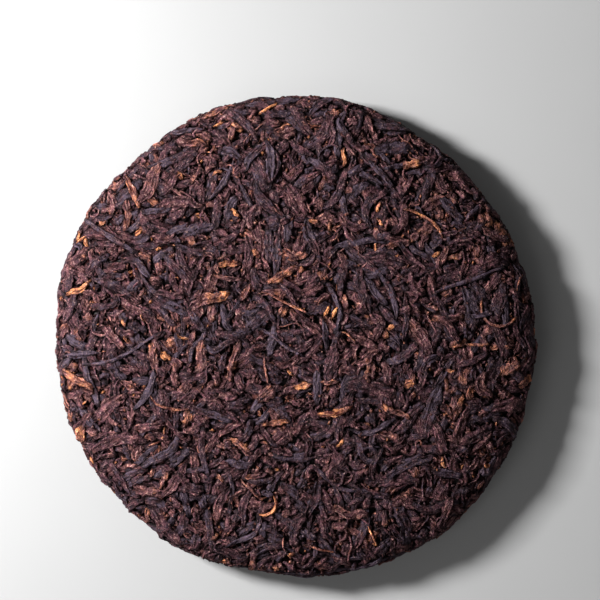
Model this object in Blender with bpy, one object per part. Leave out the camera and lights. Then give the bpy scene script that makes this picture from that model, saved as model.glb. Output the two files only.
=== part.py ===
"""A cloth-pressed round of dark pu erh tea, lying on its back with its domed face up.

One solid. Its section is worked out from a few driving dimensions: a domed face, a blunt rim, a flat ring
that it rests on and the hollow that the knot of the pressing cloth leaves in the middle of the back. The
section is spun about +Z, then the outline and the surface are made as uneven as pressed leaf is.
Metres, +Z up, origin at the centre of the resting ring.
"""

import math

import bmesh
import bpy
from mathutils import Vector

# Driving dimensions of the round.
CAKE_RADIUS = 0.100
CAKE_HEIGHT = 0.0245
RIM_HEIGHT = 0.0095  # height of the widest part above the table

# How full the face and the underside are: 2 and 2 would make an ellipse.
FACE_FULLNESS = 2.4
FACE_BLUNTNESS = 2.5
UNDERSIDE_FULLNESS = 2.2
UNDERSIDE_BLUNTNESS = 1.8

# The resting ring and the hollow inside it.
RING_OUTER_RADIUS = 0.080
RING_INNER_RADIUS = 0.029
HOLLOW_FLOOR_RADIUS = 0.008
HOLLOW_DEPTH = 0.0105

# How finely the section and the turn are divided.
FACE_STEPS = 18
UNDERSIDE_STEPS = 9
RING_STEPS = 3
HOLLOW_STEPS = 8
TURN_STEPS = 96
MERGE_DISTANCE = 1e-5

# The uneven outline: each wave has a number of lobes, a height as a share of the radius and the angle in
# degrees at which one of its lobes stands.
OUTLINE_WAVES = (
    (2, 0.0080, 130.0),
    (3, 0.0065, 204.0),
    (5, 0.0030, 300.0),
    (8, 0.0026, 20.0),
    (13, 0.0024, 142.0),
    (21, 0.0018, 66.0),
)

# The uneven surface: each wave has a length, a height and the angle in degrees that it runs at.
SURFACE_WAVES = (
    (0.041, 0.00035, 20.0),
    (0.029, 0.00030, 95.0),
    (0.019, 0.00025, 150.0),
    (0.013, 0.00022, 60.0),
    (0.011, 0.00020, 118.0),
)

LEAF_COLOUR = (0.062, 0.040, 0.041, 1.0)
LEAF_ROUGHNESS = 0.62


def clear_scene():
    for obj in list(bpy.data.objects):
        bpy.data.objects.remove(obj)


def smooth_share(value, low, high):
    """0 below the low value, 1 above the high one, and an S-shaped ramp between them."""
    share = min(1.0, max(0.0, (value - low) / (high - low)))
    return share * share * (3.0 - 2.0 * share)


def superellipse(share, fullness, bluntness):
    """Height, from 1 in the middle to 0 at the edge, of a curve that is level in the middle."""
    return max(0.0, 1.0 - share**fullness) ** (1.0 / bluntness)


def eased_to_edge(steps):
    """Shares from 0 to 1 that crowd towards 1, where a rim turns quickly."""
    return [math.sin(math.pi / 2 * i / steps) ** 0.85 for i in range(steps + 1)]


def section():
    """The outline of half a cut through the middle, from the top of the face round to the hollow."""
    rise = CAKE_HEIGHT - RIM_HEIGHT
    points = []
    for share in eased_to_edge(FACE_STEPS):
        height = superellipse(share, FACE_FULLNESS, FACE_BLUNTNESS)
        points.append((CAKE_RADIUS * share, RIM_HEIGHT + rise * height))
    width = CAKE_RADIUS - RING_OUTER_RADIUS
    for share in reversed(eased_to_edge(UNDERSIDE_STEPS)[:-1]):
        height = superellipse(share, UNDERSIDE_FULLNESS, UNDERSIDE_BLUNTNESS)
        points.append((RING_OUTER_RADIUS + width * share, RIM_HEIGHT * (1.0 - height)))
    ring = RING_OUTER_RADIUS - RING_INNER_RADIUS
    for i in range(1, RING_STEPS + 1):
        points.append((RING_OUTER_RADIUS - ring * i / RING_STEPS, 0.0))
    for i in reversed(range(HOLLOW_STEPS)):
        reach = RING_INNER_RADIUS * i / HOLLOW_STEPS
        flank = smooth_share(reach, HOLLOW_FLOOR_RADIUS, RING_INNER_RADIUS)
        points.append((reach, HOLLOW_DEPTH * (1.0 - flank)))
    return points


def outline_swell(angle):
    """How far the outline stands out at this angle, as a share of the radius."""
    total = 0.0
    for lobes, height, lobe_angle in OUTLINE_WAVES:
        total += height * math.cos(lobes * (angle - math.radians(lobe_angle)))
    return total


def surface_swell(x, y):
    """How far the pressed surface stands out here, in metres."""
    total = 0.0
    for length, height, wave_angle in SURFACE_WAVES:
        heading = math.radians(wave_angle)
        along = x * math.cos(heading) + y * math.sin(heading)
        total += height * math.sin(2.0 * math.pi * along / length)
    return total


def make_uneven(mesh):
    """Moves the points of the spun round, apart from those of the resting ring and the hollow."""
    normals = [vertex.normal.copy() for vertex in mesh.vertices]
    for vertex, normal in zip(mesh.vertices, normals, strict=True):
        x, y, z = vertex.co
        reach = math.hypot(x, y)
        on_the_back = z < RIM_HEIGHT and reach < RING_OUTER_RADIUS + MERGE_DISTANCE
        if on_the_back:
            continue
        towards_rim = smooth_share(reach, 0.6 * CAKE_RADIUS, CAKE_RADIUS)
        swell = 1.0 + outline_swell(math.atan2(y, x)) * towards_rim
        off_the_table = smooth_share(z, 0.0, RIM_HEIGHT)
        lift = normal * surface_swell(x, y) * off_the_table
        vertex.co = Vector((x * swell, y * swell, z)) + lift


def centre_on_origin(mesh):
    """Slides the round sideways, so that its box is centred over the origin."""
    for axis in (0, 1):
        places = [vertex.co[axis] for vertex in mesh.vertices]
        middle = (min(places) + max(places)) / 2.0
        for vertex in mesh.vertices:
            vertex.co[axis] -= middle


def leaf_material():
    material = bpy.data.materials.new("pressed_tea_leaf")
    material.use_nodes = True
    shader = material.node_tree.nodes["Principled BSDF"]
    shader.inputs["Base Color"].default_value = LEAF_COLOUR
    shader.inputs["Roughness"].default_value = LEAF_ROUGHNESS
    shader.inputs["Metallic"].default_value = 0.0
    return material


def build_cake():
    """Spins the section about +Z into one closed round and makes it uneven."""
    work = bmesh.new()
    corners = [work.verts.new((reach, 0.0, height)) for reach, height in section()]
    edges = [work.edges.new(pair) for pair in zip(corners, corners[1:])]
    bmesh.ops.spin(
        work,
        geom=corners + edges,
        axis=(0.0, 0.0, 1.0),
        cent=(0.0, 0.0, 0.0),
        angle=2.0 * math.pi,
        steps=TURN_STEPS,
        use_merge=True,
    )
    bmesh.ops.remove_doubles(work, verts=work.verts, dist=MERGE_DISTANCE)
    bmesh.ops.recalc_face_normals(work, faces=work.faces)
    mesh = bpy.data.meshes.new("tea_cake")
    work.to_mesh(mesh)
    work.free()
    make_uneven(mesh)
    centre_on_origin(mesh)
    mesh.shade_smooth()
    mesh.materials.append(leaf_material())
    cake = bpy.data.objects.new("tea_cake", mesh)
    bpy.context.scene.collection.objects.link(cake)
    return cake


clear_scene()
build_cake()
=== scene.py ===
"""A pressed round of ripe pu erh tea: thousands of dark leaves laid and pressed over a rough core.

The skin of the round is unrolled into two flat charts, one for the face and one for the back. Leaf after
leaf is laid on each chart, bent over whatever lies there already, and the pile is then pressed. Only leaves
that still show are turned into mesh.
"""

import math

import bpy
import numpy as np
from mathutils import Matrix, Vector
from mathutils.bvhtree import BVHTree


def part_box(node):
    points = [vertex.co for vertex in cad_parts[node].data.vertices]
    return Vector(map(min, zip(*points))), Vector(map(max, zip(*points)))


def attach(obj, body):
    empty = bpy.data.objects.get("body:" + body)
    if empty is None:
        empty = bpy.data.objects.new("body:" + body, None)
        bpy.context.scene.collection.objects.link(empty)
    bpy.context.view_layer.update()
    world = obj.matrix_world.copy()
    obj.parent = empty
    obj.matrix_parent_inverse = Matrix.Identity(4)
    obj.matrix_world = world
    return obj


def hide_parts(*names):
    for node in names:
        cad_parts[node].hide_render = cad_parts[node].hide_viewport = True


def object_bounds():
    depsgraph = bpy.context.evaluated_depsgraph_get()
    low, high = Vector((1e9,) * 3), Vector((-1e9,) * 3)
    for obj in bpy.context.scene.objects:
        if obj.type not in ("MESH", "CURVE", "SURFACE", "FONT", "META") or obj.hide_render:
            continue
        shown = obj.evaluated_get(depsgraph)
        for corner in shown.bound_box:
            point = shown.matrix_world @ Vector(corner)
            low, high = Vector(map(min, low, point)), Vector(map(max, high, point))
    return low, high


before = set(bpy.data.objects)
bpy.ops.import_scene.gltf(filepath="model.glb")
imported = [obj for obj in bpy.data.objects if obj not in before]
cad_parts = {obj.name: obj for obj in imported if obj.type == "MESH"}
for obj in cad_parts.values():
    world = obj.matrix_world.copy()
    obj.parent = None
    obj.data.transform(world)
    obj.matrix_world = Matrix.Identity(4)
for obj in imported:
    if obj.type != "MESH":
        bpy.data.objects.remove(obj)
CAD_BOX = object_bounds()

bl_info = {
    "name": "Pressed Tea Cake",
    "version": (1, 0, 0),
    "blender": (4, 5, 0),
    "location": "View3D > Sidebar > Tea Cake",
    "description": "Lays and presses the leaves of a round of dark tea",
    "category": "Object",
}

NODE = "tea_cake"
MM = 0.001
SEED = 357

SKIN_STEP = 1.0 * MM  # between measured points from the crown down to the middle of the back
SKIN_TURNS = 180
SKIN_ROUNDS = 2  # of smoothing over the measured points
RIM_START = 0.8  # share of the radius out to which the face and the back are measured straight down and up
CUT_STEPS = 90
CELL = 0.4 * MM  # of a chart
BLUR = 3  # cells each way over which the pile's height is averaged
OVERLAP = 9.0 * MM  # how far each chart reaches round the rim
SEAM = 1.0 * MM  # how far inside the edge of the face's chart the back's chart takes over its pile
BED_LUMPS = 60  # across a chart
FACE, BACK = 0, 1


def linear(red, green, blue):
    """A linear colour from one given in the 0 to 255 of a paint chart, by the usual screen curve."""

    def share(value):
        value /= 255.0
        return value / 12.92 if value <= 0.04045 else ((value + 0.055) / 1.055) ** 2.4

    return (share(red), share(green), share(blue))


# ----------------------------------------
# The skin of the round and its two charts
# ----------------------------------------


class Skin:
    """The surface of the CAD round, measured by rays sent out from a point inside it."""

    def __init__(self, mesh_object):
        mesh = mesh_object.data
        points = [vertex.co.copy() for vertex in mesh.vertices]
        tree = BVHTree.FromPolygons(points, [tuple(face.vertices) for face in mesh.polygons])
        low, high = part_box(NODE)
        self.radius = 0.5 * (high[0] - low[0])
        turns = [2.0 * math.pi * turn / SKIN_TURNS for turn in range(SKIN_TURNS)]
        cuts = [self.cut(tree, angle, low[2], high[2]) for angle in turns]
        runs = []
        for cut in cuts:
            gaps = np.linalg.norm(np.diff(cut, axis=0), axis=1)
            runs.append(np.concatenate(([0.0], np.cumsum(gaps))))
        self.length = float(np.mean([run[-1] for run in runs]))
        self.steps = int(self.length / SKIN_STEP)
        self.pace = self.length / self.steps
        shares = np.linspace(0.0, 1.0, self.steps + 1)
        table = np.zeros((SKIN_TURNS, self.steps + 1, 3))
        for turn, (cut, run) in enumerate(zip(cuts, runs)):
            for axis in range(3):
                table[turn, :, axis] = np.interp(shares * run[-1], run, cut[:, axis])
        self.points = self.smoothed(table)
        self.normals = self.outward(self.points)
        reach = np.hypot(self.points[:, :, 0], self.points[:, :, 1]).mean(axis=0)
        self.rim = float(shares[int(np.argmax(reach))]) * self.length

    def cut(self, tree, angle, bottom, top):
        """Points along half a cut through the round: down on the face, out at the rim, up on the back."""
        outwards = Vector((math.cos(angle), math.sin(angle), 0.0))
        level = Vector((0.0, 0.0, 0.5 * (bottom + top)))
        reaches = np.linspace(0.0, RIM_START * self.radius, CUT_STEPS, endpoint=False)
        above = [tree.ray_cast(outwards * reach + level * 4, Vector((0, 0, -1)))[0] for reach in reaches]
        below = [tree.ray_cast(outwards * reach - level * 4, Vector((0, 0, 1)))[0] for reach in reaches]
        inside = outwards * (RIM_START * self.radius) + level
        tilts = np.linspace(0.0, math.pi, CUT_STEPS)
        ways = [outwards * math.sin(tilt) + Vector((0, 0, math.cos(tilt))) for tilt in tilts]
        edge = [tree.ray_cast(inside, way)[0] for way in ways]
        return np.array(above + edge + below[::-1])

    def smoothed(self, table):
        """The table of points averaged with their neighbours, round the skin and along it."""
        for _ in range(SKIN_ROUNDS):
            table = (np.roll(table, 1, axis=0) + 2.0 * table + np.roll(table, -1, axis=0)) / 4.0
            inner = (table[:, :-2] + 2.0 * table[:, 1:-1] + table[:, 2:]) / 4.0
            table = np.concatenate((table[:, :1], inner, table[:, -1:]), axis=1)
        return table

    def outward(self, points):
        """The directions in which the skin faces; those of the crown and the foot are shared."""
        around = np.roll(points, -1, axis=0) - np.roll(points, 1, axis=0)
        down = np.gradient(points, axis=1)
        normals = np.cross(down, around)
        normals[:, :2] = normals[:, 2:3].mean(axis=0)
        normals[:, -2:] = normals[:, -3:-2].mean(axis=0)
        return normals / np.linalg.norm(normals, axis=2, keepdims=True)

    def unroll(self, side, u, v):
        """The angle about +Z and the distance from the crown of a place on a chart."""
        reach = np.hypot(u, v)
        if side == FACE:
            return np.arctan2(v, u), reach
        return np.arctan2(v, -u), self.length - reach

    def place(self, side, u, v, height):
        """Points in space that stand this high above the skin."""
        angle, run = self.unroll(side, u, v)
        turn = (angle / (2.0 * math.pi) % 1.0) * SKIN_TURNS
        step = np.clip(run / self.pace, 0.0, self.steps - 1e-6)
        turn_0 = np.floor(turn).astype(int)
        step_0 = np.floor(step).astype(int)
        turn_share = (turn - turn_0)[..., None]
        step_share = (step - step_0)[..., None]
        turn_0 %= SKIN_TURNS
        turn_1 = (turn_0 + 1) % SKIN_TURNS

        def blend(table):
            before = table[turn_0, step_0] * (1 - step_share) + table[turn_0, step_0 + 1] * step_share
            after = table[turn_1, step_0] * (1 - step_share) + table[turn_1, step_0 + 1] * step_share
            return before * (1 - turn_share) + after * turn_share

        normals = blend(self.normals)
        normals /= np.linalg.norm(normals, axis=-1, keepdims=True)
        return blend(self.points) + normals * height[..., None]


def rough_sheet(size, lumps, draw):
    """A square sheet of smooth random lumps from -1 to 1."""
    coarse = draw.uniform(-1.0, 1.0, (lumps, lumps))
    places = np.linspace(0, lumps - 1, size)
    before = np.floor(places).astype(int).clip(0, lumps - 2)
    share = places - before
    share = share * share * (3 - 2 * share)
    rows = coarse[before] * (1 - share)[:, None] + coarse[before + 1] * share[:, None]
    return rows[:, before] * (1 - share) + rows[:, before + 1] * share


class Chart:
    """One side of the skin laid flat, with the height of the pile and which leaf is on top."""

    def __init__(self, skin, side, draw, under=None):
        self.reach = (skin.rim if side == FACE else skin.length - skin.rim) + OVERLAP
        self.size = int(2 * self.reach / CELL) + 1
        self.level = np.ascontiguousarray(BED_HEIGHT + BED_RELIEF * rough_sheet(self.size, BED_LUMPS, draw))
        self.owner = np.full((self.size, self.size), -1, dtype=np.int32)
        if under is not None:
            line = (np.arange(self.size) * CELL) - self.reach
            u, v = np.meshgrid(line, line)
            angle, run = skin.unroll(side, u, v)
            shared = run < under.reach - SEAM
            met = under.sample(run * np.cos(angle), run * np.sin(angle))
            self.level = np.where(shared, met, self.level)

    def cells(self, u, v):
        """The rows and columns of the cells under places on the chart."""
        column = ((u + self.reach) / CELL + 0.5).astype(int).clip(0, self.size - 1)
        row = ((v + self.reach) / CELL + 0.5).astype(int).clip(0, self.size - 1)
        return row, column

    def sample(self, u, v):
        """The height of the pile at places on the chart."""
        return self.level[self.cells(u, v)]

    def soften(self):
        """Keeps the finished pile's height averaged over a few cells each way, to tell high from low."""
        level = self.level
        for axis in (0, 1):
            margins = [(BLUR + 1, BLUR) if each == axis else (0, 0) for each in (0, 1)]
            sums = np.cumsum(np.pad(level, margins, "edge"), axis)
            first = np.take(sums, range(self.size), axis)
            last = np.take(sums, range(2 * BLUR + 1, self.size + 2 * BLUR + 1), axis)
            level = (last - first) / (2 * BLUR + 1)
        self.soft_level = level
        self.pressed = np.percentile(self.level[self.owner >= 0], PRESS_SHARE)

    def stamp(self, u, v, top, name):
        """Raises the pile to a leaf's top and notes where the leaf is the highest."""
        row, column = self.cells(u.ravel(), v.ravel())
        flat = row * self.size + column
        height = top.ravel()
        order = np.argsort(height)
        flat, height = flat[order], height[order]
        level = self.level.reshape(-1)
        higher = height > level[flat]
        level[flat[higher]] = height[higher]
        self.owner.reshape(-1)[flat[higher]] = name


# ----------------------------------------
# Leaves
# ----------------------------------------

BED_HEIGHT = -1.7 * MM  # the rough bed under the shown leaves, against the skin
BED_RELIEF = 0.4 * MM
CORE_HEIGHT = -2.4 * MM
CORE_RELIEF = 0.25 * MM
PRESS_SHARE = 50  # per cent of the pile that lies below the height that the press brings to the skin
PRESSED_TO = (-0.35 * MM, -0.75 * MM)  # where that height ends up on the face and on the back
KEEP_LOW = 0.8  # how much of the fall below it is kept
KEEP_HIGH = (0.42, 0.60)  # how much of the rise above it, in the middle and at the rim
KEEP_RELIEF = 0.9  # how much of a leaf's own folds and domed top
PROUD = 0.7 * MM  # a leaf this far above or below the pile round it has its full painted light or its full painted shade
SOFT_FROM = 0.55  # share of the way to the rim from which the press begins to weaken
SOFT_OVER = 0.35  # and over which it does
LOWEST_GAP = 0.02 * MM  # above the bottom of the round
LOWEST_SLOPE = 0.001  # keeps what is held up there from falling into one level

SHOULDER = 0.75  # where the flat top of a leaf turns down, as a share of its half width
SHOULDER_SHIFT = 0.12  # how far its inner lines wander
DOME_POWER = 7.0  # how flat its top is
END_SHARE = 0.05  # how blunt its ends are
POINTED = (0.6, 1.9)  # range of how pointed it is, against its kind
FADE = 0.10  # spread of the change in tone from one end to the other
LUMPS = 0.5  # how much of its ragged outline its thickness shares
LONG_FOLDS = 1.4  # folds that run its whole length, against the short ones

TRIES = 5  # places drawn for each leaf, of which the lowest is taken
PROBES = 5  # points at which a place is measured
PROBE_REACH = 0.4  # share of the length to which they reach each way
RIM_BAND = 7 * MM  # inside the rim, where leaves begin to lie along it
RIM_FADE = 5 * MM
RIM_TURN = 0.25  # how far they stray from it, in radians
SECOND_BEND = 0.45  # how much of the bend turns back in an S
PAST_RIM = (5 * MM, 2 * MM)  # how far past the rim the leaves of the face and of the back are laid

DRAPE = 0.45  # how closely a leaf follows what lies below it, against lying straight across
RING_LIFT = 0.4  # share of the highest place below each ring, against the mean
RING_ROUNDS = 3  # of smoothing along the leaf
EDGE_DROP = 0.1 * MM  # how far its sides are tucked in
STAMP_LONG = 0.8 * CELL  # between the points that raise the pile, along the leaf
STAMP_WIDE = 0.7 * CELL  # and across it

PLACED_THICKNESS = 1.1  # of a listed leaf, against the thickest of its kind
PLACED_WANDER = 0.15  # how far its S bend strays, in radians
STRETCH_FROM = 60  # millimetres from the middle, beyond which the skin's slope counts
SHOWN_CELLS = 3  # a leaf is kept if more of its cells show
SHOWN_SHARE = 0.03  # and more of its area

UNDERSIDE = 0.35 * MM  # from the lower of bed and edge down to the underside of a leaf
TIP_REACH = 0.25  # how far the point of an end goes on, as a share of a ring's gap
TIP_DROP = 0.25 * MM
TIP_SHADE = 0.5  # how dark the painted shade of the first and the last ring is, against the sides
GRAIN_STEP = 0.37  # from one leaf's noise to the next
GRAIN_CYCLE = 17.0
MAP_GIRTH = 2.2  # way round a leaf, against its width
MAP_MARGIN = 0.08  # round each leaf of the map


class Kind:
    """A kind of leaf: ranges of its sizes in millimetres and how it bends, wrinkles and takes colour."""

    def __init__(self, piece, rings, across, length, width, thickness, bend, taper, ragged, wrinkle, tones):
        self.piece, self.rings, self.across = piece, rings, across
        self.length, self.width, self.thickness = length, width, thickness
        self.bend, self.taper, self.ragged, self.wrinkle = bend, taper, ragged, wrinkle
        self.tones = tones
        self.spread = np.concatenate(([-1.0], np.linspace(-SHOULDER, SHOULDER, across - 2), [1.0]))
        self.along = np.linspace(0.0, 1.0, rings)


KINDS = {
    "broad": Kind(
        "broad_leaves", rings=18, across=9, length=(13, 24), width=(4.8, 8.4), thickness=(0.5, 0.8),
        bend=0.45, taper=0.46, ragged=0.26, wrinkle=0.20, tones=(0.28, 0.13),
    ),
    "dark": Kind(
        "dark_leaves", rings=14, across=7, length=(9, 22), width=(2.4, 5.2), thickness=(0.6, 0.9),
        bend=0.6, taper=0.38, ragged=0.20, wrinkle=0.14, tones=(0.14, 0.10),
    ),
    "rolled": Kind(
        "rolled_leaves", rings=12, across=7, length=(7, 16), width=(2.6, 5.6), thickness=(0.6, 1.0),
        bend=0.75, taper=0.34, ragged=0.36, wrinkle=0.28, tones=(0.38, 0.14),
    ),
    "scrap": Kind(
        "leaf_scraps", rings=7, across=6, length=(3.6, 8.0), width=(2.0, 4.8), thickness=(0.5, 0.9),
        bend=0.6, taper=0.30, ragged=0.46, wrinkle=0.26, tones=(0.42, 0.17),
    ),
    "strand": Kind(
        "thin_strands", rings=10, across=4, length=(8, 18), width=(0.8, 1.5), thickness=(0.6, 0.9),
        bend=2.0, taper=0.30, ragged=0.16, wrinkle=0.08, tones=(0.40, 0.18),
    ),
    "bud": Kind(
        "golden_buds", rings=6, across=5, length=(2.5, 6), width=(1.2, 2.4), thickness=(0.5, 0.8),
        bend=1.0, taper=0.45, ragged=0.30, wrinkle=0.20, tones=(0.85, 0.10),
    ),
    "crumb": Kind(
        "crumbs", rings=3, across=4, length=(0.9, 2.2), width=(0.7, 1.6), thickness=(0.4, 0.8),
        bend=0.5, taper=0.30, ragged=0.30, wrinkle=0.15, tones=(0.50, 0.20),
    ),
}


class Leaf:
    """One leaf as a grid of places on a chart, and once laid, the height of each."""

    def __init__(self, kind, middle, heading, length, width, bends, draw, tone, thickness, fade=None):
        self.kind = kind
        fade = draw.normal(0, FADE) if fade is None else fade
        self.tone = tone + fade * (2 * kind.along - 1)
        self.width, self.long = width, length
        self.thickness = thickness
        along = kind.along
        headings = heading + bends[0] * (along - 0.5) + bends[1] * np.sin(2 * math.pi * (along + bends[2]))
        pace = length / (kind.rings - 1)
        u = np.concatenate(([0.0], np.cumsum(np.cos(headings[:-1]) * pace)))
        v = np.concatenate(([0.0], np.cumsum(np.sin(headings[:-1]) * pace)))
        u += middle[0] - u.mean()
        v += middle[1] - v.mean()
        point = kind.taper * draw.uniform(*POINTED)
        full = np.sin(math.pi * (END_SHARE + (1 - 2 * END_SHARE) * along)) ** point
        left = full * (1 + kind.ragged * draw.uniform(-1, 1, kind.rings))
        right = full * (1 + kind.ragged * draw.uniform(-1, 1, kind.rings))
        spread = kind.spread.copy()
        spread[1:-1] += draw.uniform(-SHOULDER_SHIFT, SHOULDER_SHIFT, kind.across - 2)
        share = 0.5 + 0.5 * spread[None, :]
        half = 0.5 * width * (left[:, None] * (1 - share) + right[:, None] * share)
        sideways = spread[None, :] * half
        self.u = u[:, None] - np.sin(headings)[:, None] * sideways
        self.v = v[:, None] + np.cos(headings)[:, None] * sideways
        self.sideways = sideways
        dome = np.sqrt(np.maximum(0.0, 1 - np.abs(kind.spread) ** DOME_POWER))
        lumps = 1 + LUMPS * kind.ragged * draw.uniform(-1, 1, (kind.rings, 1))
        folds = draw.uniform(-1, 1, (kind.rings, kind.across))
        folds = folds + draw.uniform(-LONG_FOLDS, LONG_FOLDS, (1, kind.across))
        folds *= kind.wrinkle * MM * dome
        self.rise = thickness * dome[None, :] * lumps * full[:, None] ** 0.5 + folds
        self.height = self.bed = None  # until it is laid


def mixing(count, fine):
    """A matrix that turns a row of count values into fine evenly spaced ones between them."""
    places = np.linspace(0, count - 1, fine)
    before = np.floor(places).astype(int).clip(0, count - 2)
    share = places - before
    matrix = np.zeros((fine, count))
    matrix[np.arange(fine), before] = 1 - share
    matrix[np.arange(fine), before + 1] += share
    return matrix


class Pile:
    """All leaves of the round, in the order in which they are laid."""

    def __init__(self, skin, leaf_size):
        self.skin = skin
        self.scale = MM * leaf_size
        self.draw = np.random.default_rng(SEED)
        self.charts = [Chart(skin, FACE, self.draw)]
        self.leaves = {FACE: [], BACK: []}
        self.mixers = {}

    def mixer(self, count, fine):
        """The mixing matrix of these sizes, made once."""
        if (count, fine) not in self.mixers:
            self.mixers[(count, fine)] = mixing(count, fine)
        return self.mixers[(count, fine)]

    def start_back(self):
        """Starts the back's chart, which goes on from the face's pile round the rim."""
        self.charts.append(Chart(self.skin, BACK, self.draw, self.charts[FACE]))

    def lay(self, side, leaf):
        """Bends a leaf over the pile below it and adds it."""
        chart = self.charts[side]
        below = chart.sample(leaf.u, leaf.v)
        ring = below.mean(axis=1) * (1 - RING_LIFT) + below.max(axis=1) * RING_LIFT
        for _ in range(RING_ROUNDS):
            padded = np.concatenate((ring[:1], ring, ring[-1:]))
            ring = (padded[:-2] + 2 * padded[1:-1] + padded[2:]) / 4
        bed = ring[:, None] * (1 - DRAPE) + below * DRAPE
        leaf.height = bed + leaf.rise
        edge = np.minimum(below[:, [0, -1]], bed[:, [0, -1]])
        leaf.height[:, [0, -1]] = edge - EDGE_DROP
        leaf.bed = ring
        rows = self.mixer(leaf.kind.rings, max(4, int(leaf.long / STAMP_LONG)))
        columns = self.mixer(leaf.kind.across, max(4, int(leaf.width / STAMP_WIDE))).T
        name = len(self.leaves[side])
        chart.stamp(rows @ leaf.u @ columns, rows @ leaf.v @ columns, rows @ leaf.height @ columns, name)
        self.leaves[side].append(leaf)

    def scatter(self, side, name, reach):
        """Lays one leaf of a kind at the lowest of a few places drawn at random."""
        kind, draw, chart = KINDS[name], self.draw, self.charts[side]
        length = draw.uniform(*kind.length) * self.scale
        width = draw.uniform(*kind.width) * self.scale
        spot = np.sqrt(draw.uniform(0, 1, TRIES)) * reach
        angle = draw.uniform(0, 2 * math.pi, TRIES)
        u, v = spot * np.cos(angle), spot * np.sin(angle)
        heading = draw.uniform(0, 2 * math.pi, TRIES)
        edge = np.clip((spot - (self.rim_reach(side) - RIM_BAND)) / RIM_FADE, 0, 1)
        tangent = angle + math.pi / 2 + draw.normal(0, RIM_TURN, TRIES)
        heading = np.where(draw.uniform(0, 1, TRIES) < edge, tangent, heading)
        probe = np.linspace(-PROBE_REACH, PROBE_REACH, PROBES)[None, :] * length
        depth = chart.sample(
            u[:, None] + np.cos(heading)[:, None] * probe,
            v[:, None] + np.sin(heading)[:, None] * probe,
        ).mean(axis=1)
        best = int(np.argmin(depth))
        bends = (draw.normal(0, kind.bend), draw.normal(0, kind.bend * SECOND_BEND), draw.uniform(0, 1))
        tone = draw.normal(*kind.tones)
        thickness = draw.uniform(*kind.thickness) * MM
        leaf = Leaf(kind, (u[best], v[best]), heading[best], length, width, bends, draw, tone, thickness)
        self.lay(side, leaf)

    def lay_known(self, name, x, y, heading, length, width, bend, tone, fade=0.0):
        """Lays one leaf of the face at a known place: sizes in millimetres and turns in degrees."""
        kind = KINDS[name]
        stretch = self.skin.rim / self.skin.radius if math.hypot(x, y) > STRETCH_FROM else 1.0
        middle = (x * MM * stretch, y * MM * stretch)
        bends = (math.radians(bend), self.draw.normal(0, PLACED_WANDER), self.draw.uniform(0, 1))
        thickness = PLACED_THICKNESS * max(kind.thickness) * MM
        leaf = Leaf(
            kind, middle, math.radians(heading), length * self.scale, width * self.scale,
            bends, self.draw, tone, thickness, fade,
        )
        self.lay(FACE, leaf)

    def rim_reach(self, side):
        """How far the rim is from the middle of a chart."""
        return self.skin.rim if side == FACE else self.skin.length - self.skin.rim

    def shown(self, side):
        """The leaves of which enough is still on top of the pile."""
        count = len(self.leaves[side])
        owned = np.bincount(self.charts[side].owner[self.charts[side].owner >= 0], minlength=count)
        kept = []
        for leaf, cells in zip(self.leaves[side], owned):
            area = leaf.long * leaf.width / CELL**2
            if cells > SHOWN_CELLS and cells > SHOWN_SHARE * area:
                kept.append(leaf)
        return kept

    def press(self, side, u, v, middle, height):
        """Pressed heights: what stands proud goes down most, and less at the rim; relief is kept."""
        reach = np.hypot(u, v) / self.rim_reach(side)
        edge = np.clip((reach - SOFT_FROM) / SOFT_OVER, 0, 1)
        keep = KEEP_HIGH[0] + (KEEP_HIGH[1] - KEEP_HIGH[0]) * edge
        over = middle - self.charts[side].pressed
        over = over * np.where(over > 0, keep, KEEP_LOW)
        return PRESSED_TO[side] + over + (height - middle) * KEEP_RELIEF


# ----------------------------------------
# Meshes
# ----------------------------------------


def leaf_pattern(rings, across):
    """The quads and end triangles of a closed leaf: rings of across top points and one point below."""
    around = across + 1
    quads, quad_maps = [], []
    for ring in range(rings - 1):
        for spot in range(around):
            after = (spot + 1) % around
            quads.append((
                ring * around + spot, (ring + 1) * around + spot,
                (ring + 1) * around + after, ring * around + after,
            ))
            quad_maps.append((
                (spot, ring + 1), (spot, ring + 2), (spot + 1, ring + 2), (spot + 1, ring + 1),
            ))
    first, last = rings * around, rings * around + 1
    end = (rings - 1) * around
    tips, tip_maps = [], []
    for spot in range(around):
        after = (spot + 1) % around
        tips.append((first, spot, after))
        tip_maps.append(((spot + 0.5, 0), (spot, 1), (spot + 1, 1)))
        tips.append((last, end + after, end + spot))
        tip_maps.append(((spot + 0.5, rings + 1), (spot + 1, rings), (spot, rings)))
    return np.array(quads), np.array(quad_maps, float), np.array(tips), np.array(tip_maps, float)


def beyond(line):
    """The two points a little beyond the ends of a line of points."""
    return np.array([
        line[0] * (1 + TIP_REACH) - line[1] * TIP_REACH,
        line[-1] * (1 + TIP_REACH) - line[-2] * TIP_REACH,
    ])


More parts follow.
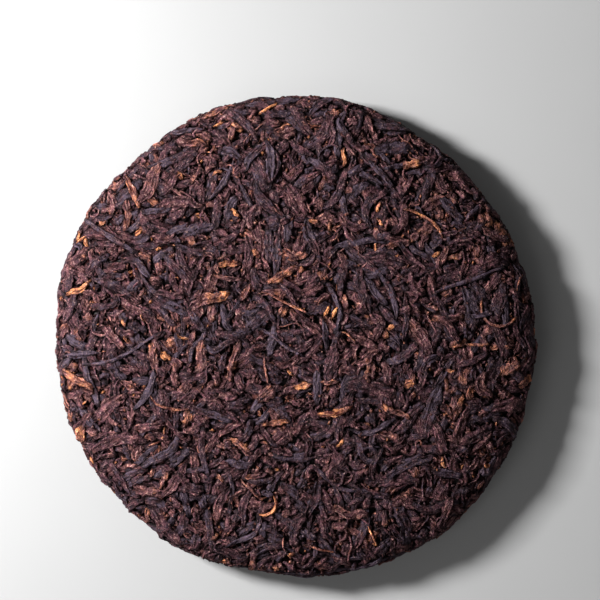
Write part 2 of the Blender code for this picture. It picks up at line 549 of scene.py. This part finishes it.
def leaves_mesh(name, pile, chosen):
    """One joined mesh of the chosen (side, leaf) pairs, which are all of one kind."""
    kind = chosen[0][1].kind
    rings, across = kind.rings, kind.across
    around = across + 1
    stack = rings * around + 2
    count = len(chosen)
    u = np.zeros((count, stack))
    v, height, middle = np.zeros_like(u), np.zeros_like(u), np.zeros_like(u)
    side = np.array([pair[0] for pair in chosen])
    grain = np.zeros((count, stack, 3))
    tone = np.zeros((count, stack))
    proud = np.zeros((count, stack))
    # The sides and ends of each leaf, which get painted shade.
    edge = np.zeros((count, stack))
    edge[:, :-2] = np.tile(np.concatenate((np.abs(kind.spread) == 1.0, [True])), rings)
    edge[:, -2:] = 1.0
    edge[:, :around] = np.maximum(edge[:, :around], TIP_SHADE)
    edge[:, -around - 2 : -2] = np.maximum(edge[:, -around - 2 : -2], TIP_SHADE)
    for row, (_, leaf) in enumerate(chosen):
        middle_u, middle_v = leaf.u.mean(axis=1), leaf.v.mean(axis=1)
        grid_u = np.concatenate((leaf.u, middle_u[:, None]), axis=1)
        grid_v = np.concatenate((leaf.v, middle_v[:, None]), axis=1)
        under = np.minimum(leaf.bed, leaf.height[:, [0, -1]].min(axis=1)) - UNDERSIDE
        grid_h = np.concatenate((leaf.height, under[:, None]), axis=1)
        ends_h = np.array([leaf.height[0].mean() - TIP_DROP, leaf.height[-1].mean() - TIP_DROP])
        u[row] = np.concatenate((grid_u.ravel(), beyond(middle_u)))
        v[row] = np.concatenate((grid_v.ravel(), beyond(middle_v)))
        height[row] = np.concatenate((grid_h.ravel(), ends_h))
        middle[row, :-2] = np.repeat(leaf.bed + leaf.thickness, around)
        middle[row, -2:] = leaf.bed[[0, -1]] + leaf.thickness
        run = np.repeat(kind.along * leaf.long, around)
        across_run = np.concatenate((leaf.sideways, np.zeros((rings, 1))), axis=1).ravel()
        grain[row, :-2, 0], grain[row, :-2, 1] = run, across_run
        grain[row, -2:, 0] = (0.0, leaf.long)
        grain[row, :, 2] = (row * GRAIN_STEP) % GRAIN_CYCLE
        tone[row] = np.concatenate((np.repeat(leaf.tone, around), leaf.tone[[0, -1]]))
    points = np.zeros((count, stack, 3))
    for each in (FACE, BACK):
        rows = side == each
        if rows.any():
            chart = pile.charts[each]
            # How far each point stands above or below the pile round it, which sets the painted light on
            # raised tops and the painted shade on sunken places.
            around_it = chart.soft_level[chart.cells(u[rows], v[rows])]
            proud[rows] = np.clip((height[rows] - around_it) / PROUD, -1, 1)
            pressed = pile.press(each, u[rows], v[rows], middle[rows], height[rows])
            points[rows] = pile.skin.place(each, u[rows], v[rows], pressed)
    lowest = CAD_BOX[0][2] + LOWEST_GAP
    points[:, :, 2] = np.maximum(points[:, :, 2], lowest + LOWEST_SLOPE * (height - height.min()))
    quads, quad_maps, tips, tip_maps = leaf_pattern(rings, across)
    shift = (np.arange(count) * stack)[:, None, None]
    quads_all = (quads[None] + shift).reshape(-1, 4)
    tips_all = (tips[None] + shift).reshape(-1, 3)
    mesh = bpy.data.meshes.new(name)
    mesh.vertices.add(count * stack)
    mesh.vertices.foreach_set("co", points.ravel())
    mesh.loops.add(quads_all.size + tips_all.size)
    mesh.loops.foreach_set("vertex_index", np.concatenate((quads_all.ravel(), tips_all.ravel())))
    mesh.polygons.add(len(quads_all) + len(tips_all))
    starts = np.concatenate((np.arange(len(quads_all)) * 4, quads_all.size + np.arange(len(tips_all)) * 3))
    mesh.polygons.foreach_set("loop_start", starts)
    mesh.update(calc_edges=True)
    mesh.validate()
    mesh.shade_smooth()
    for label, values in (("tone", tone), ("proud", proud), ("edge", edge)):
        layer = mesh.attributes.new(label, "FLOAT", "POINT")
        layer.data.foreach_set("value", values.ravel())
    layer = mesh.attributes.new("grain", "FLOAT_VECTOR", "POINT")
    layer.data.foreach_set("vector", grain.ravel())
    bake_map(mesh, count, rings, around, quad_maps, tip_maps, kind)
    return mesh


def bake_map(mesh, count, rings, around, quad_maps, tip_maps, kind):
    """Gives every leaf its own upright cell of one square map."""
    length = sum(kind.length) / 2
    girth = sum(kind.width) / 2 * MAP_GIRTH
    columns = max(1, int(math.ceil(math.sqrt(count * length / girth))))
    rows = int(math.ceil(count / columns))
    column, row = np.arange(count) % columns, np.arange(count) // columns

    def cell(maps):
        spot = MAP_MARGIN + (1 - 2 * MAP_MARGIN) * maps[..., 0] / around
        ring = MAP_MARGIN + (1 - 2 * MAP_MARGIN) * maps[..., 1] / (rings + 1)
        x = (column[:, None, None] + spot[None]) / columns
        y = (row[:, None, None] + ring[None]) / rows
        return np.stack((x, y), axis=-1).reshape(-1, 2)

    layer = mesh.uv_layers.new(name="OFBake")
    layer.uv.foreach_set("vector", np.concatenate((cell(quad_maps), cell(tip_maps))).ravel())


def add_piece(name, mesh, look):
    """Puts a mesh in the scene as a piece of the round."""
    piece = bpy.data.objects.new(name, mesh)
    bpy.context.scene.collection.objects.link(piece)
    mesh.materials.append(look)
    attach(piece, "root")
    return piece


# ----------------------------------------
# Materials
# ----------------------------------------


class Wire:
    """A node's socket that can stand in a sum: each operator adds its Math node."""

    def __init__(self, look, socket):
        self.look, self.socket = look, socket

    def maths(self, operation, first, second):
        return self.look.add("ShaderNodeMath", {"operation": operation}, {0: first, 1: second})

    def __add__(self, other):
        return self.maths("ADD", self, other)

    __radd__ = __add__

    def __sub__(self, other):
        return self.maths("SUBTRACT", self, other)

    def __rsub__(self, other):
        return self.maths("SUBTRACT", other, self)

    def __mul__(self, other):
        return self.maths("MULTIPLY", self, other)

    __rmul__ = __mul__

    def __pow__(self, other):
        return self.maths("POWER", self, other)


class Look:
    """The nodes of a new material, or of the world when that is given instead of a name."""

    def __init__(self, owner):
        self.owner = bpy.data.materials.new(owner) if isinstance(owner, str) else owner
        self.owner.use_nodes = True
        self.tree = self.owner.node_tree
        self.shader = self.tree.nodes["Principled BSDF" if isinstance(owner, str) else "Background"]

    def fill(self, socket, value):
        """Links a wire to a socket, or sets the socket's value."""
        if isinstance(value, Wire):
            self.tree.links.new(value.socket, socket)
        elif isinstance(value, tuple) and len(value) < len(socket.default_value):
            socket.default_value = (*value, 1.0)
        else:
            socket.default_value = value

    def add(self, kind, settings=None, values=None, output=0):
        """Adds a node: its settings are set first, then the values or links of its sockets."""
        node = self.tree.nodes.new(kind)
        for name, setting in (settings or {}).items():
            if name == "stops":
                ramp = node.color_ramp
                while len(ramp.elements) < len(setting):
                    ramp.elements.new(1.0)
                for element, (place, colour) in zip(ramp.elements, setting):
                    element.position = place
                    element.color = (*colour, 1.0)
            else:
                setattr(node, name, setting)
        for name, value in (values or {}).items():
            self.fill(node.inputs[name], value)
        return Wire(self, node.outputs[output])

    def mix(self, share, first, second):
        """Blends two colours."""
        return self.add("ShaderNodeMix", {"data_type": "RGBA"}, {0: share, 6: first, 7: second}, 2)

    def shade(self, share, colour, tint):
        """Multiplies a colour by a tint where share is 1."""
        settings = {"data_type": "RGBA", "blend_type": "MULTIPLY"}
        return self.add("ShaderNodeMix", settings, {0: share, 6: colour, 7: tint}, 2)

    def noise(self, place, scale, detail, roughness=0.5):
        """Smooth noise with about this many lumps for each unit of place."""
        return self.add("ShaderNodeTexNoise", {}, {
            "Vector": place, "Scale": scale, "Detail": detail, "Roughness": roughness,
        })

    def climb(self, value, start, full):
        """0 where a value is at start or short of it, and 1 from full on."""
        return self.add("ShaderNodeMapRange", {}, {"Value": value, "From Min": start, "From Max": full})

    def finish(self, **values):
        """Fills the sockets of the shader and gives back what it belongs to."""
        for name, value in values.items():
            self.fill(self.shader.inputs[name.replace("_", " ")], value)
        return self.owner


HORIZON_GLOW = 0.55  # the studio is bright low down all round, and dim above
SKY_GLOW = 0.10
GLOW_START = 0.45  # from the middle of the floor, in metres
GLOW_FULL = 1.6
SKY_FROM = 0.05  # share of the way up from the horizon to overhead, where the glow begins to fall
SKY_TO = 0.25
TONE_STOPS = (0.0, 0.14, 0.36, 0.58, 0.80, 1.0)

FOLD_SCALE = (230.0, 1000.0, 1.0)  # for each metre along a leaf and across it
PATCH_SCALE = 330.0  # for each metre, as the next two
FLECK_SCALE = 1300.0
CRUMPLE_SCALE = 520.0
PATCH_TONE = 0.9  # how far patches shift the tone
FLECK_TONE = 0.8
# Pale flecks: partly real dust and chips, partly painted glints.
DUST_AND_GLINT_SHARE = 0.7
# Painted shade: darkens the grooves of a leaf's folds.
GROOVE_SHADE_TINT = (0.20, 0.11, 0.13)
# Painted highlight: lightens the ridges of the folds on brown leaves.
RIDGE_HIGHLIGHT_TINT = (2.4, 2.3, 2.25)
# Painted light on leaves that stand above the pile round them.
RAISED_LIGHT_TINT = (1.5, 1.5, 1.48)
# Painted shade on leaves that lie below the pile round them.
SUNKEN_SHADE_TINT = (0.12, 0.05, 0.06)
# Painted shade, nearly black, on the sides and ends of a leaf.
EDGE_SHADE_TINT = (0.05, 0.015, 0.02)
EDGE_SHADE_POWER = 0.4  # under 1, the painted shade of a side reaches further up
CRUMPLE_RELIEF = 0.7  # against the folds
FLECK_RELIEF = 0.4
RELIEF_DEPTH = 2.0 * MM
CORE_DARK = 0.5  # the darkest of the core, against its colour
FLOOR_DARK = 0.97


def leaf_look(name, colours, dust_and_glint, roughness):
    """Wrinkled pressed leaf: brown leaves are flecked with dust and painted glints, folds run along a leaf
    with painted shade in their grooves and painted highlights on their ridges, raised tops get painted
    light, and sunken places and a leaf's sides get painted shade.
    """
    look = Look(name)
    tone = look.add("ShaderNodeAttribute", {"attribute_name": "tone"}, output="Fac")
    proud = look.add("ShaderNodeAttribute", {"attribute_name": "proud"}, output="Fac")
    edge = look.add("ShaderNodeAttribute", {"attribute_name": "edge"}, output="Fac")
    grain = look.add("ShaderNodeAttribute", {"attribute_name": "grain"}, output="Vector")
    place = look.add("ShaderNodeTexCoord", output="Object")
    stretched = look.add("ShaderNodeVectorMath", {"operation": "MULTIPLY"}, {0: grain, 1: FOLD_SCALE})
    folds = look.noise(stretched, 1.0, 3.0, 0.65)
    patches = look.noise(place, PATCH_SCALE, 2.0)
    flecks = look.noise(place, FLECK_SCALE, 2.0, 0.6)
    # How brown and worn a leaf is: it sets its flecks, dust and relief, and the painted highlights on its
    # ridges.
    worn_and_highlit = look.add("ShaderNodeMapRange", {}, {
        "Value": tone, "From Min": 0.1, "From Max": 0.5, "To Min": 0.5,
    })
    shifted = tone + (patches - 0.5) * PATCH_TONE + (flecks - 0.5) * worn_and_highlit * FLECK_TONE
    paint = look.add("ShaderNodeValToRGB", {"stops": list(zip(TONE_STOPS, colours))}, {0: shifted})
    groove_shade = look.climb(folds, 0.50, 0.38)
    # Painted highlight on the ridges of the folds.
    ridge_highlight = look.climb(folds, 0.54, 0.68)
    # Where the pale flecks lie: partly dust, partly painted glints.
    dust_and_glint_speck = look.climb(flecks, 0.55, 0.72)
    # Painted shade where a leaf lies below the pile round it.
    sunken_shade = look.climb(proud, -0.05, -0.85)
    # Painted light where a leaf stands above the pile round it.
    raised_light = look.climb(proud, 0.15, 1.0)
    # Pale flecks of dust and painted glints on brown leaves.
    paint = look.mix(dust_and_glint_speck * worn_and_highlit * DUST_AND_GLINT_SHARE, paint, dust_and_glint)
    # Painted shade in the grooves of the folds.
    paint = look.shade(groove_shade, paint, GROOVE_SHADE_TINT)
    # Painted highlight on the ridges of the folds of brown leaves.
    paint = look.shade(ridge_highlight * worn_and_highlit, paint, RIDGE_HIGHLIGHT_TINT)
    # Painted light on raised tops and painted shade on sunken places.
    paint = look.shade(raised_light, paint, RAISED_LIGHT_TINT)
    paint = look.shade(sunken_shade, paint, SUNKEN_SHADE_TINT)
    # Painted shade on the sides and ends of a leaf.
    paint = look.shade(edge ** EDGE_SHADE_POWER, paint, EDGE_SHADE_TINT)
    crumple = look.noise(place, CRUMPLE_SCALE, 3.0, 0.7)
    height = (folds + crumple * CRUMPLE_RELIEF + flecks * FLECK_RELIEF) * worn_and_highlit
    relief = look.add("ShaderNodeBump", {}, {"Strength": 1.0, "Distance": RELIEF_DEPTH, "Height": height})
    gloss = roughness + (flecks - 0.5) * 0.5 + worn_and_highlit * 0.1 + sunken_shade * 0.4
    return look.finish(Base_Color=paint, Roughness=gloss, Normal=relief, Specular_IOR_Level=0.10)


def core_look(name, colour):
    """Dull and mottled packed leaf, painted near-black as the shade in the crevices between the leaves."""
    look = Look(name)
    place = look.add("ShaderNodeTexCoord", output="Object")
    mottle = look.noise(place, 500.0, 3.0)
    paint = look.mix(mottle, tuple(part * CORE_DARK for part in colour), colour)
    relief = look.add("ShaderNodeBump", {}, {"Strength": 0.8, "Distance": 0.5 * MM, "Height": mottle})
    return look.finish(Base_Color=paint, Roughness=0.75, Normal=relief)


def floor_look(name, colour):
    """A pale floor that brightens far away, so that it meets the bright horizon."""
    look = Look(name)
    place = look.add("ShaderNodeTexCoord", output="Object")
    mottle = look.noise(place, 30.0, 2.0)
    paint = look.mix(mottle, tuple(FLOOR_DARK * part for part in colour), colour)
    distance = look.add("ShaderNodeVectorMath", {"operation": "LENGTH"}, {0: place}, "Value")
    share = look.add("ShaderNodeMapRange", {"interpolation_type": "SMOOTHSTEP"}, {
        "Value": distance, "From Min": GLOW_START, "From Max": GLOW_FULL,
    })
    glow = look.mix(share, (0.0, 0.0, 0.0), (HORIZON_GLOW, HORIZON_GLOW, HORIZON_GLOW))
    return look.finish(Base_Color=paint, Roughness=0.6, Emission_Color=glow, Emission_Strength=1.0)


# ----------------------------------------
# What a user may change
# ----------------------------------------


def colour_choice(name, description, red, green, blue):
    """A colour setting, given in the 0 to 255 of a paint chart."""
    return bpy.props.FloatVectorProperty(
        name=name, description=description, subtype="COLOR", size=3, min=0.0, max=1.0,
        default=linear(red, green, blue),
    )


TONES = ("slate", "charcoal", "dark_brown", "mid_brown", "red_brown", "golden")


class TeaLeafSettings(bpy.types.PropertyGroup):
    """Colours, size and number of the leaves"""

    slate: colour_choice("Slate", "The sheen of the smoothest dark leaves", 61, 50, 61)
    charcoal: colour_choice("Charcoal", "The darkest leaves", 46, 30, 37)
    dark_brown: colour_choice("Dark brown", "Most of the leaves", 75, 46, 52)
    mid_brown: colour_choice("Mid brown", "Worn ridges and thinner leaves", 101, 66, 65)
    red_brown: colour_choice("Red brown", "Younger, reddish leaves", 136, 84, 65)
    golden: colour_choice("Golden", "Tips, buds and pale chips", 186, 122, 80)
    # Pale flecks: partly dust and chips, partly painted glints.
    dust_and_glint: colour_choice("Dust", "Pale flecks on worn leaves", 162, 134, 128)
    # Near-black, so that the core is painted shade where it shows in the crevices.
    core: colour_choice("Core", "The packed leaf under what shows", 28, 14, 16)
    roughness: bpy.props.FloatProperty(
        name="Roughness", description="How dull the leaves are", default=0.55, min=0, max=1
    )
    density: bpy.props.FloatProperty(
        name="Density", description="Share of the full number of leaves", default=1.0, min=0.1, max=1
    )
    leaf_size: bpy.props.FloatProperty(
        name="Leaf size", description="Length and width of the leaves against the usual",
        default=1.0, min=0.5, max=1.5,
    )


class TeaStageSettings(bpy.types.PropertyGroup):
    """The floor, the camera and the lamps"""

    floor: colour_choice("Floor", "The pale floor", 170, 170, 170)
    view_height: bpy.props.FloatProperty(
        name="View height", description="How far the camera is above the floor", default=0.70, unit="LENGTH"
    )
    key_power: bpy.props.FloatProperty(
        name="Key lamp", description="Power of the main lamp", default=14.8, unit="POWER"
    )
    fill_power: bpy.props.FloatProperty(
        name="Fill lamp", description="Power of the soft lamp", default=0.9, unit="POWER"
    )


# ----------------------------------------
# Operators
# ----------------------------------------

CORE_TURNS, CORE_STEPS = 220, 120  # points of the core's mesh round it, and from its crown to its foot
CORE_SHEET, CORE_LUMPS = 400, 120  # its rough sheet and the lumps across it
FLOOR_REACH = 4.0
KEY_PLACE, KEY_SIZE = (-0.56, 0.20, 0.37), 0.14
FILL_PLACE, FILL_SIZE = (-0.40, -0.40, 0.60), 0.50
LAMP_AIM = (0.0, 0.0, 0.01)
LENS = 100.0
CAMERA_PLACE = (1.7 * MM, 15.1 * MM)  # beside the middle of the round

# How many leaves of each kind are laid, round by round.
ROUNDS = {
    FACE: (
        {"broad": 80, "dark": 300, "rolled": 320, "scrap": 480, "strand": 90},
        {"broad": 100, "dark": 320, "rolled": 340, "scrap": 520, "strand": 120},
        {"broad": 60, "dark": 220, "rolled": 240, "scrap": 420, "strand": 90},
        {"bud": 40, "crumb": 1000},
    ),
    BACK: (
        {"broad": 60, "dark": 220, "rolled": 240, "scrap": 360, "strand": 60},
        {"broad": 80, "dark": 240, "rolled": 260, "scrap": 400, "strand": 80},
        {"broad": 40, "dark": 160, "rolled": 160, "scrap": 320, "strand": 60},
        {"bud": 20, "crumb": 600},
    ),
}

# Leaves that stand out on the face: kind, x and y in millimetres, heading in degrees, length, width, bend
# in degrees, tone from charcoal 0 to golden 1, and how much the tone grows from the first end to the last.
KNOWN_LEAVES = (
    ("broad", -10, 69, 97, 19, 5.0, 10, 0.00),
    ("strand", -11, 91, 35, 9, 1.4, 10, 0.98),
    ("scrap", 19, 71, 90, 8, 2.4, 20, 0.90),
    ("scrap", -3, 81, 20, 7, 6.0, 0, 0.50),
    ("broad", -35, 15, 25, 18, 5.6, 15, 0.68, 0.25),
    ("bud", 13, 11, 62, 5, 2.0, 10, 1.10),
    ("bud", 16, 10, 58, 6, 1.7, -10, 1.05),
    ("broad", -71, -42, 12, 27, 6.2, -60, 0.36),
    ("rolled", -87, -17, -27, 16, 4.0, 5, 0.74),
    ("strand", 70, 23, 19, 31, 1.9, -15, 0.05),
    ("strand", 79, 8, -20, 25, 1.5, 165, 0.72),
    ("strand", 72, -3, 2, 10, 1.4, 10, 0.72),
    ("rolled", 74, 9, 10, 9, 3.0, 5, 0.00),
    ("strand", 52, 47, -40, 22, 1.6, -95, 0.80),
    ("rolled", 57, 73, 80, 17, 2.4, 175, 0.10),
    ("scrap", 47, 70, 15, 8, 4.4, 0, 0.80),
    ("bud", 56, 33, 30, 4, 2.0, 0, 1.00),
    ("strand", -10, -68, 60, 13, 1.8, 150, 0.90),
    ("strand", 30, -78, 114, 10, 1.1, 0, 0.88),
    ("rolled", -74, 40, -31, 29, 2.6, 12, 0.10),
    ("rolled", -65, 58, -64, 16, 3.0, -10, 0.74),
    ("bud", -62, 41, 45, 4, 2.2, 0, 1.00),
    ("broad", -58, 61, 62, 20, 7.0, 15, 0.50),
    ("rolled", -55, 50, 8, 12, 3.3, 10, 0.00),
    ("rolled", -86, 19, 28, 14, 3.0, 8, 0.86),
    ("broad", -72, 20, -24, 18, 5.0, -10, 0.15),
    ("scrap", -86, -39, 70, 8, 4.6, 0, 0.80),
    ("scrap", 33, 52, 80, 4, 2.0, 0, 0.90),
    ("scrap", 35, 48, 120, 4, 1.8, 0, 0.85),
    ("strand", -68, -6, 24, 36, 2.1, 25, 0.05),
    ("broad", -86, -7, 5, 17, 4.2, -15, 0.00),
    ("rolled", -72, 0, -45, 13, 4.8, 0, 0.42),
    ("scrap", -53, -8, -30, 5, 3.2, 0, 0.96),
    ("strand", -52, -28, -15, 18, 1.4, 95, 0.72),
    ("scrap", -27, 30, 5, 9, 3.0, 0, 0.84),
    ("rolled", -6, 25, 30, 14, 4.0, 5, 0.70),
    ("strand", -4, 14, -26, 22, 1.3, -15, 0.76),
    ("strand", -6, -2, -32, 22, 1.9, -12, 0.05),
    ("rolled", 12, 1, 95, 13, 3.2, 5, 0.00),
    ("rolled", 16, -30, 14, 15, 2.8, 12, 0.80),
    ("rolled", -8, -35, 6, 11, 3.0, 10, 0.76),
    ("scrap", -12, -23, 40, 8, 6.0, 0, 0.56),
    ("rolled", -25, -9, 76, 16, 3.2, -20, 0.60),
)


class Work:
    """What the first step makes for the next ones."""

    pile = None


def laid_pile():
    """The pile, if its leaves are laid."""
    if Work.pile is None:
        raise RuntimeError("The leaves have to be laid first.")
    return Work.pile


class TEA_OT_lay_leaves(bpy.types.Operator):
    """Lay every leaf of the round, one after another, on the face and then on the back"""

    bl_idname = "tea.lay_leaves"
    bl_label = "Lay leaves"

    def execute(self, context):
        settings = context.scene.tea_leaves
        pile = Pile(Skin(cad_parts[NODE]), settings.leaf_size)
        for side in (FACE, BACK):
            if side == BACK:
                pile.start_back()
            reach = pile.rim_reach(side) + PAST_RIM[side]
            for amounts in ROUNDS[side]:
                names = []
                for name, amount in amounts.items():
                    names += [name] * int(amount * settings.density)
                pile.draw.shuffle(names)
                for name in names:
                    pile.scatter(side, name, reach)
            if side == FACE:
                for known in KNOWN_LEAVES:
                    pile.lay_known(*known)
            pile.charts[side].soften()
        Work.pile = pile
        return {"FINISHED"}


class TEA_OT_core(bpy.types.Operator):
    """Make the rough packed core that the shown leaves lie on"""

    bl_idname = "tea.core"
    bl_label = "Packed core"

    def execute(self, context):
        skin = laid_pile().skin
        turns, steps = CORE_TURNS, CORE_STEPS
        draw = np.random.default_rng(SEED + 1)
        angle = np.linspace(0, 2 * math.pi, turns, endpoint=False)
        run = np.linspace(0, skin.length, steps + 1)[1:-1]
        angle, run = np.meshgrid(angle, run, indexing="ij")
        lumps = rough_sheet(CORE_SHEET, CORE_LUMPS, draw)[: angle.shape[0], : angle.shape[1]]
        height = CORE_HEIGHT + CORE_RELIEF * lumps
        rings = skin.place(FACE, run * np.cos(angle), run * np.sin(angle), height)
        crown = skin.place(FACE, np.zeros(1), np.zeros(1), np.full(1, CORE_HEIGHT))
        foot = skin.place(BACK, np.zeros(1), np.zeros(1), np.full(1, CORE_HEIGHT))
        points = np.concatenate((rings.reshape(-1, 3), crown, foot))
        faces = []
        inner = steps - 1
        top, bottom = turns * inner, turns * inner + 1
        for turn in range(turns):
            after = (turn + 1) % turns
            for step in range(inner - 1):
                faces.append((
                    turn * inner + step, turn * inner + step + 1,
                    after * inner + step + 1, after * inner + step,
                ))
            faces.append((top, turn * inner, after * inner))
            faces.append((bottom, after * inner + inner - 1, turn * inner + inner - 1))
        mesh = bpy.data.meshes.new("packed_core")
        mesh.from_pydata(points.tolist(), [], faces)
        mesh.shade_smooth()
        look = core_look("packed_leaf", tuple(context.scene.tea_leaves.core))
        core = add_piece("packed_core", mesh, look)
        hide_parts(NODE)
        return {"FINISHED"}


class TEA_OT_leaves(bpy.types.Operator):
    """Turn the leaves that show into joined pieces, one for each kind and side"""

    bl_idname = "tea.leaves"
    bl_label = "Leaves"

    def execute(self, context):
        pile = laid_pile()
        settings = context.scene.tea_leaves
        colours = [tuple(getattr(settings, name)) for name in TONES]
        look = leaf_look("pressed_leaf", colours, tuple(settings.dust_and_glint), settings.roughness)
        shown = {side: pile.shown(side) for side in (FACE, BACK)}
        for kind in KINDS.values():
            for side, ending in ((FACE, "face"), (BACK, "back")):
                chosen = [(side, leaf) for leaf in shown[side] if leaf.kind is kind]
                if chosen:
                    name = kind.piece + "_" + ending
                    add_piece(name, leaves_mesh(name, pile, chosen), look)
        return {"FINISHED"}


class TEA_OT_stage(bpy.types.Operator):
    """Set the pale floor, the lamps and the camera that looks down on the face"""

    bl_idname = "tea.stage"
    bl_label = "Stage"

    def execute(self, context):
        settings = context.scene.tea_stage
        scene = context.scene
        mesh = bpy.data.meshes.new("floor")
        corners = [(x * FLOOR_REACH, y * FLOOR_REACH, 0) for x, y in ((-1, -1), (1, -1), (1, 1), (-1, 1))]
        mesh.from_pydata(corners, [], [(0, 1, 2, 3)])
        floor = bpy.data.objects.new("floor", mesh)
        floor.location.z = CAD_BOX[0][2]
        scene.collection.objects.link(floor)
        mesh.materials.append(floor_look("pale_floor", tuple(settings.floor)))
        self.lamp(scene, "key_lamp", KEY_PLACE, KEY_SIZE, settings.key_power)
        self.lamp(scene, "fill_lamp", FILL_PLACE, FILL_SIZE, settings.fill_power)
        world = bpy.data.worlds.new("studio")
        sky = Look(world)
        direction = sky.add("ShaderNodeTexCoord", output="Generated")
        rise = sky.add("ShaderNodeSeparateXYZ", {}, {0: direction}, "Z")
        glow = sky.add("ShaderNodeMapRange", {}, {
            "Value": rise, "From Min": SKY_FROM, "From Max": SKY_TO,
            "To Min": HORIZON_GLOW, "To Max": SKY_GLOW,
        })
        sky.finish(Color=(1.0, 1.0, 1.0), Strength=glow)
        scene.world = world
        eye = bpy.data.cameras.new("camera")
        eye.lens = LENS
        camera = bpy.data.objects.new("camera", eye)
        camera.location = (*CAMERA_PLACE, settings.view_height)
        scene.collection.objects.link(camera)
        scene.camera = camera
        scene.view_settings.view_transform = "Standard"
        return {"FINISHED"}

    def lamp(self, scene, name, place, size, power):
        """Adds a square white lamp that is turned to the round."""
        light = bpy.data.lights.new(name, "AREA")
        light.size = size
        light.energy = power
        lamp = bpy.data.objects.new(name, light)
        lamp.location = place
        aim = Vector(LAMP_AIM) - Vector(place)
        lamp.rotation_euler = aim.to_track_quat("-Z", "Y").to_euler()
        scene.collection.objects.link(lamp)


class TEA_PT_panel(bpy.types.Panel):
    """The steps and settings of the pressed tea cake"""

    bl_label = "Tea Cake"
    bl_idname = "TEA_PT_panel"
    bl_space_type = "VIEW_3D"
    bl_region_type = "UI"
    bl_category = "Tea Cake"

    def draw(self, context):
        for group in (context.scene.tea_leaves, context.scene.tea_stage):
            for name in group.__annotations__:
                self.layout.prop(group, name)
        for step in STEPS:
            self.layout.operator(step.bl_idname)


STEPS = (TEA_OT_lay_leaves, TEA_OT_core, TEA_OT_leaves, TEA_OT_stage)
CLASSES = (TeaLeafSettings, TeaStageSettings, *STEPS, TEA_PT_panel)


def register():
    for each in CLASSES:
        bpy.utils.register_class(each)
    bpy.types.Scene.tea_leaves = bpy.props.PointerProperty(type=TeaLeafSettings)
    bpy.types.Scene.tea_stage = bpy.props.PointerProperty(type=TeaStageSettings)


def unregister():
    del bpy.types.Scene.tea_stage
    del bpy.types.Scene.tea_leaves
    for each in reversed(CLASSES):
        bpy.utils.unregister_class(each)


def main():
    """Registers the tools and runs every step."""
    register()
    for step in STEPS:
        group, action = step.bl_idname.split(".")
        getattr(getattr(bpy.ops, group), action)()


if __name__ == "__main__":
    main()
